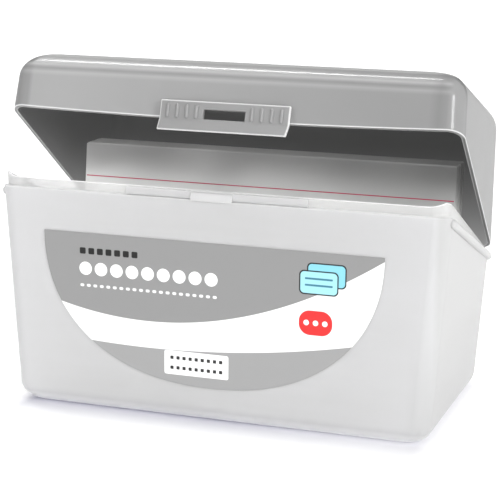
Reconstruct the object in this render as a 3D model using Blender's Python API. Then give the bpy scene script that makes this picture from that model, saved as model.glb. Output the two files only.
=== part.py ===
"""Index card box for 3 x 5 inch cards: a frosted base with a low back wall and
slanted sides, a grey hinged lid with a sprung latch tab, a front label and a
short deck of cards.  Modelled in metres, +Z up, the front towards -Y, with the
origin under the middle of the base.  The lid stands ajar, as it is pictured.
"""

import bmesh
import bpy
from math import atan2, cos, pi, radians, sin, tan
from mathutils import Vector

MM = 0.001

# Index cards, the scale of everything else
card_width = 127.0 * MM
card_height = 76.2 * MM
card_thickness = 0.23 * MM
card_air = 0.30 * MM
card_count = 20
card_lean = radians(6.0)
card_foot_gap = 0.30 * MM
deck_rear_space = 21.7 * MM

# Base
wall = 1.8 * MM
floor_thickness = 1.9 * MM
card_side_clearance = 1.9 * MM
base_depth = 72.1 * MM
base_draft = radians(0.9)
base_side_draft = radians(3.83)
base_corner_radius = 5.0 * MM
base_bottom_radius = 6.0 * MM
floor_inner_radius = 2.6 * MM
front_height = 73.2 * MM
rear_height = 47.6 * MM

# Rim: a thin lip inside the lid, with a raised ear at each front corner
lip_thickness = 0.8 * MM
front_band_height = 2.9 * MM
ear_rise = 1.6 * MM
ear_width = 2.0 * MM
ear_ramp = 4.4 * MM
side_line_start = 2.5 * MM
side_line_end = 2.4 * MM
side_line_share = 0.8

# Bead along each side, on which the closed lid lands
bead_radius = 1.4 * MM
bead_offset = -0.3 * MM
bead_gap = 0.35 * MM
bead_front_inset = 4.6 * MM
bead_rear_inset = 3.4 * MM

# Catch on the front wall
catch_width = 13.4 * MM
catch_height = 3.3 * MM
catch_shift = -1.2 * MM
catch_reach = 1.2 * MM
catch_top_reach = 0.25 * MM
catch_top_inset = 0.1 * MM
catch_root = 0.3 * MM
land_width = 58.0 * MM
land_reach = 0.45 * MM
land_top_inset = 0.35 * MM

# Lid, sized when it is closed
lid_wall = 1.2 * MM
lid_top_wall = 1.4 * MM
seat_gap = 0.3 * MM
rear_seat_gap = 0.65 * MM
card_headroom = 11.8 * MM
lid_top_fall = radians(2.0)
lid_side_draft = radians(2.7)
lid_rear_draft = radians(1.0)
lid_front_lean = radians(0.8)
lid_front_clearance = 0.4 * MM
lid_rear_flare = 0.1 * MM
lid_corner_radius = 5.0 * MM
lid_top_radius = 8.0 * MM
lid_front_overlap = 1.2 * MM
lid_rear_overlap = 2.0 * MM
skirt_sag = 1.25 * MM
skirt_sag_depth = 9.0 * MM
lid_open = radians(17.2)
lid_open_max = radians(110.0)

# Hinge at the back
hinge_setback = 4.6 * MM
hinge_rise = 0.3 * MM
hinge_spacing = 84.0 * MM
barrel_length = 12.0 * MM
barrel_radius = 2.4 * MM
pin_radius = 1.1 * MM
pin_clearance = 0.3 * MM
lug_thickness = 2.6 * MM
lug_radius = 2.7 * MM
lug_side_gap = 0.3 * MM
lug_neck_gap = 0.6 * MM
lug_gusset = 7.0 * MM
arm_height = 3.0 * MM
heel_length = 3.0 * MM
heel_gap = 0.3 * MM

# Latch tab, a sprung flap in front of the lid's skirt
tab_width = 41.4 * MM
tab_foot_inset = 0.2 * MM
tab_height = 9.5 * MM
tab_drop = 4.2 * MM
tab_thickness = 1.3 * MM
tab_flare = 1.9 * MM
tab_bend_drop = 0.4 * MM
tab_gap = 0.3 * MM
tab_edge = 0.4 * MM
tab_corner = 1.0 * MM
tab_axis_inset = 0.8 * MM
slot_width = 13.4 * MM
slot_height = 3.0 * MM
slot_rise = -0.15 * MM
window_margin = 0.6 * MM
hook_reach = 0.42 * MM
hook_height = 2.8 * MM
hook_tip = 0.6 * MM
hook_width = 15.0 * MM
hook_root = 0.3 * MM
rib_count = 4
rib_radius = 0.55 * MM
rib_slot_margin = 2.2 * MM
rib_edge_margin = 2.85 * MM
rib_top_inset = 1.0 * MM
rib_bottom_inset = 0.3 * MM
rib_sink = 0.15 * MM

# Label on the front
label_width = 109.4 * MM
label_height = 45.9 * MM
label_bottom = 11.4 * MM
label_shift = -1.7 * MM
label_thickness = 0.2 * MM
label_gap = 0.3 * MM
label_curve = 2.2

# Shared by the cuts and the curves
overrun = 5.0 * MM
root_overlap = 0.5 * MM
corner_steps = 7
fillet_steps = 6
round_sides = 24
outline_steps = 40

# Places worked out from the sizes
slope = tan(base_draft)
side_spread = tan(base_side_draft)
base_half_x = card_width / 2 + card_side_clearance + wall
base_half_y = base_depth / 2
floor_top = floor_thickness
card_pitch = card_thickness + card_air
rear_inner_floor = base_half_y + floor_top * slope - wall
last_foot_y = rear_inner_floor - deck_rear_space
first_foot_y = last_foot_y - (card_count - 1) * card_pitch
card_foot_z = floor_top + card_foot_gap
card_top_z = card_foot_z + card_height * cos(card_lean)


def front_face(z):
    """Outer front face of the base at a height."""
    return -(base_half_y + z * slope)


def rear_face(z):
    return base_half_y + z * slope


def side_face(z):
    return base_half_x + z * side_spread


ear_top = front_height + ear_rise
side_line_y0 = front_face(front_height) + side_line_start
side_line_y1 = rear_face(rear_height) - side_line_end
side_line_z0 = front_height + ear_rise * side_line_share
side_line_fall = (side_line_z0 - rear_height) / (side_line_y1 - side_line_y0)

# Lid's lower edge when closed, front to back
lip_inset = wall - lip_thickness
lid_rear_y = rear_face(rear_height) - lip_inset + rear_seat_gap + lid_wall
lid_front_y = front_face(front_height) - lid_front_clearance - lid_wall
lid_front_z = front_height - lid_front_overlap
lid_rear_z = rear_height - lid_rear_overlap
lid_fall = (lid_front_z - lid_rear_z) / (lid_rear_y - lid_front_y)
lid_front_half_x = side_face(front_height) - lip_inset + seat_gap + lid_wall
lid_rear_half_x = (side_face(rear_height) - lip_inset + seat_gap + lid_wall
                   + lid_rear_flare)
lid_top_z = card_top_z + card_headroom + lid_top_wall
hinge_y = rear_face(rear_height) + hinge_setback
hinge_z = rear_height + hinge_rise


def lid_edge(y):
    """Height of the closed lid's lower side edge."""
    return lid_front_z - (y - lid_front_y) * lid_fall


# Start from an empty scene
for old in list(bpy.data.objects):
    bpy.data.objects.remove(old, do_unlink=True)

collection = bpy.context.scene.collection


def material(name, colour, roughness, metallic=0.0, alpha=1.0, transmission=0.0):
    made = bpy.data.materials.new(name)
    made.use_nodes = True
    shader = made.node_tree.nodes["Principled BSDF"]
    shader.inputs["Base Color"].default_value = (*colour, 1.0)
    shader.inputs["Roughness"].default_value = roughness
    shader.inputs["Metallic"].default_value = metallic
    shader.inputs["Transmission Weight"].default_value = transmission
    shader.inputs["Alpha"].default_value = alpha
    made.diffuse_color = (*colour, 1.0)
    return made


frosted_plastic = material("frosted_plastic", (0.72, 0.73, 0.75), 0.42)
grey_plastic = material("grey_plastic", (0.38, 0.385, 0.40), 0.40)
label_paper = material("label_paper", (0.50, 0.50, 0.52), 0.55)
card_paper = material("card_paper", (0.86, 0.86, 0.85), 0.80)


def add_object(name, mesh, look=None, parent=None):
    item = bpy.data.objects.new(name, mesh)
    collection.objects.link(item)
    if look is not None:
        mesh.materials.append(look)
    if parent is not None:
        item.parent = parent
    return item


def add_empty(name, place, turn=0.0, parent=None):
    item = bpy.data.objects.new(name, None)
    collection.objects.link(item)
    item.location = place
    item.rotation_euler = (turn, 0.0, 0.0)
    item.parent = parent
    return item


def finish_mesh(bm, name):
    bmesh.ops.recalc_face_normals(bm, faces=bm.faces[:])
    mesh = bpy.data.meshes.new(name)
    bm.to_mesh(mesh)
    bm.free()
    return mesh


def loft(name, rings):
    """Closed solid through rings of points, capped at both ends."""
    bm = bmesh.new()
    rows = [[bm.verts.new(p) for p in ring] for ring in rings]
    count = len(rows[0])
    for low, high in zip(rows, rows[1:]):
        for i in range(count):
            j = (i + 1) % count
            bm.faces.new((low[i], low[j], high[j], high[i]))
    bm.faces.new(list(reversed(rows[0])))
    bm.faces.new(rows[-1])
    return finish_mesh(bm, name)


def rounded_ring(front_x, rear_x, front_y, rear_y, radius, height):
    """Rounded outline that may narrow to the back; height is a function of y."""
    points = []
    for corner_x, corner_y, start in (
        (rear_x - radius, rear_y - radius, 0.0),
        (-rear_x + radius, rear_y - radius, pi / 2),
        (-front_x + radius, front_y + radius, pi),
        (front_x - radius, front_y + radius, 3 * pi / 2),
    ):
        for step in range(corner_steps + 1):
            turn = start + pi / 2 * step / corner_steps
            x = corner_x + radius * cos(turn)
            y = corner_y + radius * sin(turn)
            points.append(Vector((x, y, height(y))))
    return points


def prism(name, outline, half_width, centre=0.0):
    """Solid of an outline in Y and Z, drawn out along X."""
    ends = [
        [Vector((centre + side * half_width, y, z)) for y, z in outline]
        for side in (-1, 1)
    ]
    return loft(name, ends)


def box(name, x0, x1, y0, y1, z0, z1):
    return loft(name, [
        [Vector((x, y, z)) for x, y in ((x0, y0), (x1, y0), (x1, y1), (x0, y1))]
        for z in (z0, z1)
    ])


def cylinder_x(name, radius, x0, x1, y, z, sides):
    circle = [
        (y + radius * cos(2 * pi * i / sides), z + radius * sin(2 * pi * i / sides))
        for i in range(sides)
    ]
    return loft(name, [[Vector((x, a, b)) for a, b in circle] for x in (x0, x1)])


def field_cutter(name, xs, ys, surface, far):
    """Solid between a surface over X and Y and a flat far side."""
    bm = bmesh.new()
    near = [[bm.verts.new((x, y, surface(x, y))) for y in ys] for x in xs]
    back = [[bm.verts.new((x, y, far)) for y in ys] for x in xs]
    last_x, last_y = len(xs) - 1, len(ys) - 1
    for i in range(last_x):
        for j in range(last_y):
            for sheet in (near, back):
                a, b = sheet[i][j], sheet[i + 1][j]
                c, d = sheet[i + 1][j + 1], sheet[i][j + 1]
                bm.faces.new((a, b, c))
                bm.faces.new((a, c, d))
    for i in range(last_x):
        for j in (0, last_y):
            bm.faces.new((near[i][j], near[i + 1][j], back[i + 1][j], back[i][j]))
    for j in range(last_y):
        for i in (0, last_x):
            bm.faces.new((near[i][j], near[i][j + 1], back[i][j + 1], back[i][j]))
    return finish_mesh(bm, name)


def combine(target, mesh, operation):
    """Boolean a mesh into an object, as a real modifier that is then applied."""
    tool = bpy.data.objects.new(mesh.name + "_tool", mesh)
    collection.objects.link(tool)
    tool.parent = target.parent
    tool.hide_render = True
    tool.display_type = "WIRE"
    step = target.modifiers.new(operation.lower(), "BOOLEAN")
    step.operation = operation
    step.object = tool
    step.solver = "EXACT"
    bpy.context.view_layer.update()
    graph = bpy.context.evaluated_depsgraph_get()
    result = bpy.data.meshes.new_from_object(target.evaluated_get(graph))
    target.modifiers.remove(step)
    target.data = result
    bpy.data.objects.remove(tool, do_unlink=True)


def cut(target, mesh):
    combine(target, mesh, "DIFFERENCE")


def join(target, mesh):
    combine(target, mesh, "UNION")


def smooth_edges(item, angle):
    item.data.shade_smooth()
    item.data.set_sharp_from_angle(angle=angle)


def level(z):
    return lambda y: z


# Base shell: outer form with a rounded bottom edge, hollowed by the inner form
def base_ring(z, inset, radius):
    return rounded_ring(
        side_face(z) - inset, side_face(z) - inset,
        front_face(z) + inset, rear_face(z) - inset,
        radius, level(z))


shell_top = ear_top + overrun
outer_rings = []
for step in range(fillet_steps + 1):
    turn = pi / 2 * step / fillet_steps
    inset = base_bottom_radius * (1 - sin(turn))
    z = base_bottom_radius * (1 - cos(turn))
    outer_rings.append(base_ring(z, inset, base_corner_radius))
outer_rings.append(base_ring(shell_top, 0.0, base_corner_radius))
base = add_object("base_box", loft("base_box", outer_rings), frosted_plastic)

inner_rings = []
for step in range(fillet_steps + 1):
    turn = pi / 2 * step / fillet_steps
    inset = wall + floor_inner_radius * (1 - sin(turn))
    z = floor_top + floor_inner_radius * (1 - cos(turn))
    inner_rings.append(base_ring(z, inset, base_corner_radius - wall / 2))
inner_rings.append(base_ring(shell_top + overrun, wall, base_corner_radius - wall / 2))
cut(base, loft("hollow", inner_rings))


# Rim: level at the front and the back, slanted along the sides, with two ears
def side_line(y):
    return side_line_z0 - (y - side_line_y0) * side_line_fall


ear_start_x = side_face(front_height) - ear_width - ear_ramp


def rim_cap(x):
    share = min(max((abs(x) - ear_start_x) / ear_ramp, 0.0), 1.0)
    share = share * share * (3 - 2 * share)
    return front_height + ear_rise * share


def rim_surface(x, y):
    return max(rear_height, min(side_line(y), rim_cap(x)))


reach_x = side_face(shell_top) + overrun
reach_y = rear_face(shell_top) + overrun
ramp_shares = (0.0, 0.25, 0.5, 0.75, 1.0)
ramp_xs = [ear_start_x + share * ear_ramp for share in ramp_shares]
rim_xs = [-reach_x] + [-x for x in reversed(ramp_xs)] + ramp_xs + [reach_x]
ramp_ys = [
    side_line_y0 + (side_line_z0 - rim_cap(x)) / side_line_fall
    for x in reversed(ramp_xs)
]
rim_ys = [-reach_y] + ramp_ys + [side_line_y1, reach_y]
cut(base, field_cutter("rim", rim_xs, rim_ys, rim_surface, shell_top + 2 * overrun))


# Shoulder: the outer part of the wall is stepped in, so that a thin lip is left
def shoulder_surface(x, y):
    side = lid_edge(y) - seat_gap
    return min(side, front_height - front_band_height)


shoulder_y = lid_front_y + (
    lid_front_z - seat_gap - front_height + front_band_height) / lid_fall
shoulder = add_object("shoulder", field_cutter(
    "shoulder", [-reach_x, reach_x], [-reach_y, shoulder_y, reach_y],
    shoulder_surface, shell_top + 2 * overrun))
shoulder.display_type = "WIRE"
shoulder.hide_render = True
cut(shoulder, loft("lip", [
    base_ring(z, lip_inset, base_corner_radius - lip_inset / 2)
    for z in (rear_height - 2 * overrun, shell_top + 3 * overrun)]))
shoulder_mesh = shoulder.data
bpy.data.objects.remove(shoulder, do_unlink=True)
cut(base, shoulder_mesh)


# Beads along both sides, half round, with rounded ends
def bead_mesh(side):
    top_y = front_face(front_height) + bead_front_inset
    end_y = rear_face(rear_height) - bead_rear_inset
    drop = (bead_gap + bead_radius) / cos(atan2(lid_fall, 1.0))
    ends = []
    for y in (top_y, end_y):
        z = lid_edge(y) - drop
        ends.append(Vector((side * (side_face(z) + bead_offset), y, z)))
    run = (ends[1] - ends[0]).normalized()
    across = Vector((side, 0.0, 0.0))
    across = (across - run * across.dot(run)).normalized()
    up = run.cross(across)
    rings = []
    half = round_sides // 8
    for end, sign in ((ends[0], -1), (ends[1], 1)):
        bows = range(1, half + 1) if sign < 0 else range(half, 0, -1)
        for bow in bows:
            turn = pi / 2 * bow / half
            centre = end + run * (sign * bead_radius * cos(turn))
            ring = []
            for i in range(round_sides // 2):
                around = 2 * pi * i / (round_sides // 2)
                ring.append(centre + (across * cos(around) + up * sin(around))
                            * bead_radius * sin(turn))
            rings.append(ring)
    return loft("bead", rings)


for side in (-1, 1):
    join(base, bead_mesh(side))

# Catch on the front wall: a low land with a wedge in its middle
band_bottom = front_height - front_band_height
catch_top = front_height - catch_top_inset
catch_bottom = catch_top - catch_height
lip_face = front_face(front_height) + lip_inset
join(base, box(
    "land", -land_width / 2, land_width / 2,
    lip_face - land_reach, lip_face + catch_root,
    band_bottom - catch_root, front_height - land_top_inset))
join(base, prism("catch", (
    (lip_face + catch_root, catch_top),
    (lip_face - catch_top_reach, catch_top),
    (lip_face - catch_reach, catch_bottom),
    (lip_face + catch_root, catch_bottom)), catch_width / 2, catch_shift))

# Hinge lugs behind the back wall, a pair for each barrel, bored for the pins
lug_offset = barrel_length / 2 + lug_side_gap + lug_thickness / 2
lug_neck_z = lid_rear_z - lug_neck_gap
wall_root_y = rear_face(lug_neck_z) - wall / 2
lug_outline = [(wall_root_y, lug_neck_z), (hinge_y - lug_radius, lug_neck_z)]
lug_arc = [pi - 3 * pi / 2 * step / fillet_steps / 2 for step in range(2 * fillet_steps + 1)]
lug_outline += [
    (hinge_y + lug_radius * cos(turn), hinge_z + lug_radius * sin(turn))
    for turn in lug_arc]
lug_outline.append((wall_root_y, lug_neck_z - lug_gusset))
for hinge_side in (-1, 1):
    for lug_side in (-1, 1):
        x = hinge_side * hinge_spacing / 2 + lug_side * lug_offset
        join(base, prism("lug", lug_outline, lug_thickness / 2, x))
        cut(base, cylinder_x(
            "bore", pin_radius + pin_clearance,
            x - lug_thickness, x + lug_thickness, hinge_y, hinge_z, round_sides))
smooth_edges(base, radians(35))

# Lid: modelled closed, under an axis that is then turned to the pictured angle
lid_axis = add_empty("lid_axis", (0.0, hinge_y, hinge_z))
side_slope = tan(lid_side_draft)
side_taper = (
    lid_front_half_x - lid_rear_half_x
    + (lid_front_z - lid_rear_z) * side_slope) / (lid_rear_y - lid_front_y)


def lid_half_x(y, z):
    return (lid_front_half_x - (y - lid_front_y) * side_taper
            - (z - lid_front_z) * side_slope)


def lid_ring(z, inset, radius, share=1.0):
    front = lid_front_y - (z - lid_front_z) * tan(lid_front_lean) + inset
    rear = lid_rear_y - (z - lid_rear_z) * tan(lid_rear_draft) - inset
    ring = rounded_ring(
        lid_half_x(front, z) - inset, lid_half_x(rear, z) - inset,
        front, rear, radius,
        lambda y: z + share * (y - (front + rear) / 2) * tan(lid_top_fall))
    return [p - Vector((0.0, hinge_y, hinge_z)) for p in ring]


def lid_form(name, bottom, top, inset, corner, fillet):
    rings = [lid_ring(bottom, inset, corner, 0.0)]
    for step in range(fillet_steps + 1):
        turn = pi / 2 * step / fillet_steps
        rings.append(lid_ring(
            top - fillet + fillet * sin(turn),
            inset + fillet * (1 - cos(turn)), corner))
    return loft(name, rings)


lid_bottom = lid_rear_z - overrun
lid = add_object("lid_shell", lid_form(
    "lid_shell", lid_bottom, lid_top_z, 0.0, lid_corner_radius, lid_top_radius),
    grey_plastic, lid_axis)
cut(lid, lid_form(
    "lid_hollow", lid_bottom - overrun, lid_top_z - lid_top_wall, lid_wall,
    lid_corner_radius - lid_wall, lid_top_radius - lid_wall))


# Lower edge of the lid: slanted with the base's sides, sagging a little in front
def edge_surface(x, y):
    across = min(abs(x) / lid_front_half_x, 1.0)
    into = min(max((y + hinge_y - lid_front_y) / skirt_sag_depth, 0.0), 1.0)
    sag = skirt_sag * (1 - across ** 2) * (1 - into)
    return lid_edge(y + hinge_y) - hinge_z - sag


sag_steps = 12
edge_xs = [lid_front_half_x * (2 * i / sag_steps - 1) for i in range(sag_steps + 1)]
edge_xs = [-reach_x] + edge_xs + [reach_x]
edge_ys = [lid_front_y - overrun, lid_front_y, lid_front_y + skirt_sag_depth,
           lid_rear_y + overrun]
cut(lid, field_cutter("edge", edge_xs, [y - hinge_y for y in edge_ys],
                      edge_surface, lid_bottom - hinge_z - 2 * overrun))

# Window in the skirt behind the latch tab's slot
tab_bottom = lid_front_z - skirt_sag - tab_drop
tab_top = tab_bottom + tab_height
slot_bottom = lid_front_z - skirt_sag + slot_rise
slot_top = slot_bottom + slot_height
tab_bend = slot_bottom - tab_bend_drop
cut(lid, box(
    "window", -slot_width / 2 - window_margin, slot_width / 2 + window_margin,
    lid_front_y - overrun - hinge_y, lid_front_y + 2 * lid_wall - hinge_y,
    lid_bottom - hinge_z, slot_top + window_margin - hinge_z))

# Hinge barrels with their pins, the arms that carry them, and the stop heels
heel_reach = hinge_y - rear_face(hinge_z) - heel_gap
stop_turn = pi + lid_open_max
foot = (heel_reach * cos(stop_turn), heel_reach * sin(stop_turn))
along = (-sin(stop_turn), cos(stop_turn))
arm_front = lid_rear_y - lid_wall / 2 - hinge_y
arm_bottom = lid_rear_z - hinge_z
for side in (-1, 1):
    x = side * hinge_spacing / 2
    half = barrel_length / 2
    join(lid, cylinder_x("barrel", barrel_radius, x - half, x + half,
                         0.0, 0.0, round_sides))
    join(lid, prism("arm", (
        (arm_front, arm_bottom), (0.0, -barrel_radius / 2),
        (0.0, barrel_radius - root_overlap),
        (arm_front, arm_bottom + arm_height)), half - root_overlap / 2, x))
    join(lid, prism("heel", (
        (-along[0] * root_overlap, -along[1] * root_overlap),
        foot,
        (foot[0] + along[0] * heel_length, foot[1] + along[1] * heel_length),
        (along[0] * heel_length / 2, along[1] * heel_length / 2)),
        half - root_overlap, x))
    pin_half = half + lug_side_gap + lug_thickness
    join(lid, cylinder_x("pin", pin_radius, x - pin_half, x + pin_half,
                         0.0, 0.0, round_sides))
smooth_edges(lid, radians(35))

# Latch tab: a flap with a slot and finger ribs, hinged at its upper edge
skirt_face = lid_front_y - (tab_top - lid_front_z) * tan(lid_front_lean)
tab_back = skirt_face - tab_gap
tab_front = tab_back - tab_thickness
axis_y = (tab_back + tab_front) / 2
axis_z = tab_top - tab_axis_inset
tab_axis = add_empty("tab_axis", (0.0, axis_y - hinge_y, axis_z - hinge_z),
                     parent=lid_axis)


def tab_outline():
    half = tab_width / 2
    foot_half = half - tab_foot_inset
    points = [(-half, tab_top), (-half, tab_bend)]
    for step in range(fillet_steps + 1):
        turn = pi + pi / 2 * step / fillet_steps
        points.append((-foot_half + tab_corner + tab_corner * cos(turn),
                       tab_bottom + tab_corner + tab_corner * sin(turn)))
    return points + [(-x, z) for x, z in reversed(points)]


tab = add_object("latch_tab", prism("latch_tab", [
    (y - axis_y, z - axis_z) for y, z in (
        (tab_back - tab_edge, tab_top), (tab_back, tab_top - tab_edge),
        (tab_back, tab_bend), (tab_back - tab_flare, tab_bottom),
        (tab_front - tab_flare + tab_edge, tab_bottom),
        (tab_front - tab_flare, tab_bottom + tab_edge),
        (tab_front, tab_bend), (tab_front, tab_top - tab_edge),
        (tab_front + tab_edge, tab_top))], tab_width / 2 + overrun),
    grey_plastic, tab_axis)
combine(tab, loft("flap", [
    [Vector((x, y - axis_y, z - axis_z)) for x, z in tab_outline()]
    for y in (tab_front - tab_flare - overrun, tab_back + overrun)]), "INTERSECT")
cut(tab, box(
    "slot", -slot_width / 2, slot_width / 2,
    tab_front - overrun - axis_y, tab_back + overrun - axis_y,
    slot_bottom - axis_z, slot_top - axis_z))
join(tab, prism("hook", [
    (y - axis_y, z - axis_z) for y, z in (
        (tab_back - hook_root, tab_bend), (tab_back, tab_bend),
        (tab_back, tab_bottom + hook_height),
        (tab_back + hook_reach, tab_bottom + hook_height),
        (tab_back + hook_reach, tab_bottom + hook_height - hook_tip),
        (tab_back - hook_root, tab_bottom + tab_edge),
        (tab_back - tab_flare - hook_root, tab_bottom + tab_edge))],
    hook_width / 2))


def rib_mesh(x):
    """Upright finger rib, half sunk in the tab's face, with round ends."""
    centre_y = tab_front + rib_sink - axis_y
    low = tab_bend + rib_bottom_inset + rib_radius - axis_z
    high = tab_top - rib_top_inset - rib_radius - axis_z
    sides = round_sides // 3
    bows = round_sides // 8
    rings = []
    for end, sign in ((low, -1), (high, 1)):
        order = range(1, bows + 1) if sign < 0 else range(bows, 0, -1)
        for bow in order:
            turn = pi / 2 * bow / bows
            ring = []
            for i in range(sides):
                around = 2 * pi * i / sides
                ring.append(Vector((
                    x + rib_radius * sin(turn) * cos(around),
                    centre_y + rib_radius * sin(turn) * sin(around),
                    end + sign * rib_radius * cos(turn))))
            rings.append(ring)
    return loft("rib", rings)


rib_run = (tab_width - slot_width) / 2 - rib_slot_margin - rib_edge_margin
rib_pitch = rib_run / (rib_count - 1)
for side in (-1, 1):
    for index in range(rib_count):
        x = side * (slot_width / 2 + rib_slot_margin + index * rib_pitch)
        join(tab, rib_mesh(x))
smooth_edges(tab, radians(35))
lid_axis.rotation_euler = (-lid_open, 0.0, 0.0)

# Label: straight on top, its sides and bottom one round curve
label_axis = add_empty("label_axis", (label_shift, front_face(0.0), 0.0), base_draft)
label_points = []
for step in range(outline_steps + 1):
    turn = pi * step / outline_steps
    across = abs(cos(turn)) ** (2 / label_curve)
    down = abs(sin(turn)) ** (2 / label_curve)
    side = -1 if step * 2 < outline_steps else 1
    label_points.append((side * across * label_width / 2,
                         label_bottom + label_height * (1 - down)))
front_label = add_object("front_label", loft("front_label", [
    [Vector((x, -y, z)) for x, z in label_points]
    for y in (label_gap, label_gap + label_thickness)]), label_paper, label_axis)

# Cards: the ruled front one turns on its foot, the rest stand behind it
for index in range(card_count):
    foot_y = first_foot_y + index * card_pitch
    card_axis = add_empty("card_axis_%02d" % (index + 1),
                          (0.0, foot_y, card_foot_z), -card_lean)
    add_object("card_%02d" % (index + 1), box(
        "card_%02d" % (index + 1), -card_width / 2, card_width / 2,
        0.0, card_thickness, 0.0, card_height), card_paper, card_axis)

bpy.context.view_layer.update()
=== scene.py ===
"""Looks of the index card box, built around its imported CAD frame."""

from math import atan, cos, pi, radians, sin, tan

import bmesh
import bpy
from mathutils import Matrix, Vector


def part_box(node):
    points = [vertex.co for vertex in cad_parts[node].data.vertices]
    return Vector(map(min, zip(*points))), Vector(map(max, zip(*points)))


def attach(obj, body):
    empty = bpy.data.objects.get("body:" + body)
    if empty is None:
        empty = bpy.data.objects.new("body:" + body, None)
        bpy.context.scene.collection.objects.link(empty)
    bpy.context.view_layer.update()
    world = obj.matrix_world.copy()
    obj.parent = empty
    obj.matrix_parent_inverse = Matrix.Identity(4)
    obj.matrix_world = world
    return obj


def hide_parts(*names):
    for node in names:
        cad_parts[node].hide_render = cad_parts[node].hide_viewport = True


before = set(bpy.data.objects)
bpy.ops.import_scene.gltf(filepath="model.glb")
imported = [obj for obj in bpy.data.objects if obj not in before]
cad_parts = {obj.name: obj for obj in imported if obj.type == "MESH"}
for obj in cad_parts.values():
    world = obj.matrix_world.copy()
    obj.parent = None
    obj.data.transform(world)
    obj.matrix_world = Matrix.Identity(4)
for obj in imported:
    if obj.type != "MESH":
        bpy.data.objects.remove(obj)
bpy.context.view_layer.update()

# Base shell. One injection moulding in frosted polypropylene, open on top. The wall is
# stepped in near the rim, which leaves a thin lip that the lid closes over, and the rim
# rises into a small ear at each front corner.
MM = 0.001
card_width = 127.0 * MM
card_height = 76.2 * MM
card_side_clearance = 1.9 * MM
wall = 1.8 * MM
floor_top = 1.9 * MM
base_depth = 72.1 * MM
base_draft = radians(0.9)
base_side_draft = radians(3.83)
base_corner = 5.0 * MM
base_bottom_round = 6.0 * MM
floor_round = 2.6 * MM
front_height = 73.2 * MM
rear_height = 47.6 * MM
lip_thickness = 0.8 * MM
lip_inset = wall - lip_thickness
front_band = 2.9 * MM
seat_gap = 0.3 * MM
ear_rise = 1.6 * MM
ear_ramp = 5.6 * MM
ear_width = 1.0 * MM
side_start_inset = 2.5 * MM
side_end_inset = 2.4 * MM
side_top_share = 0.8


def rear_face(z):
    return base_depth / 2 + z * tan(base_draft)


def front_face(z):
    return -rear_face(z)


def side_face(z):
    return card_width / 2 + card_side_clearance + wall + z * tan(base_side_draft)


ear_start = side_face(front_height) - ear_width - ear_ramp
side_start = front_face(front_height) + side_start_inset
side_end = rear_face(rear_height) - side_end_inset
side_top = front_height + ear_rise * side_top_share
side_fall = (side_top - rear_height) / (side_end - side_start)
lid_wall = 1.2 * MM
lid_front_gap = 0.4 * MM
lid_rear_gap = 0.65 * MM
lid_front_overlap = 1.2 * MM
lid_rear_overlap = 2.0 * MM
lid_rear_y = rear_face(rear_height) - lip_inset + lid_rear_gap + lid_wall
lid_front_y = front_face(front_height) - lid_front_gap - lid_wall
lid_front_z = front_height - lid_front_overlap
lid_rear_z = rear_height - lid_rear_overlap
lid_fall = (lid_front_z - lid_rear_z) / (lid_rear_y - lid_front_y)


def rim_height(x, y):
    into_ear = min(max((abs(x) - ear_start) / ear_ramp, 0.0), 1.0)
    cap = front_height + ear_rise * into_ear ** 2
    return max(rear_height, min(side_top - (y - side_start) * side_fall, cap))


def lid_edge(y):
    return lid_front_z - (y - lid_front_y) * lid_fall


def shoulder_height(y):
    return min(lid_edge(y) - seat_gap, front_height - front_band)


def quarter_turn(steps):
    """Angles from 0 to a right angle, in even steps."""
    return [pi / 2 * step / steps for step in range(steps + 1)]


def full_turn(steps):
    """Angles all the way round, in even steps."""
    return [2 * pi * step / steps for step in range(steps)]


def stations(corner_steps, side_steps, front_steps, extra=()):
    """Places round a rounded outline: a corner with a turn, or a share of the run after it."""
    places = []
    front_run_corner = 2
    for corner, steps in enumerate((front_steps, side_steps, front_steps, side_steps)):
        places += [(corner, step / corner_steps, 0.0) for step in range(corner_steps + 1)]
        shares = {(1 - cos(pi * step / steps)) / 2 for step in range(1, steps)}
        if corner == front_run_corner:
            shares.update(extra)
        places += [(corner, 1.0, share) for share in sorted(shares)]
    return places


def outline_point(place, front_x, rear_x, front_y, rear_y, radius):
    def on_corner(corner, turn):
        x = (rear_x, -rear_x, -front_x, front_x)[corner]
        y = (rear_y, rear_y, front_y, front_y)[corner]
        x -= radius if x > 0 else -radius
        y -= radius if y > 0 else -radius
        angle = pi / 2 * (corner + turn)
        return Vector((x + radius * cos(angle), y + radius * sin(angle)))

    corner, turn, share = place
    here = on_corner(corner, turn)
    if share:
        here = here.lerp(on_corner((corner + 1) % 4, 0.0), share)
    return here


class Column:
    """A line of points, with a value of each mark for every point."""

    def __init__(self, *marks):
        self.points = []
        self.marks = {mark: [] for mark in marks}

    def add(self, point, **given):
        self.points.append(point)
        for mark, values in self.marks.items():
            values.append(given.get(mark, 0.0))


def finished_mesh(name, bm):
    """The mesh of a bmesh, with its faces turned outwards."""
    bmesh.ops.recalc_face_normals(bm, faces=bm.faces[:])
    mesh = bpy.data.meshes.new(name)
    bm.to_mesh(mesh)
    bm.free()
    return mesh


def shell_mesh(name, columns, marks=None):
    """Closed skin over columns of points, all with as many rows; a mark value for each row."""
    marks = marks or {}
    bm = bmesh.new()
    layers = {key: bm.verts.layers.float.new(key) for key in marks}
    grid = []
    for column in columns:
        line = []
        for row, point in enumerate(column):
            vert = bm.verts.new(point)
            for key, layer in layers.items():
                vert[layer] = marks[key][row]
            line.append(vert)
        grid.append(line)
    for left, right in zip(grid, grid[1:] + grid[:1]):
        for row in range(len(left) - 1):
            bm.faces.new((left[row], right[row], right[row + 1], left[row + 1]))
    bm.faces.new([line[0] for line in reversed(grid)])
    bm.faces.new([line[-1] for line in grid])
    return finished_mesh(name, bm)


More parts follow.
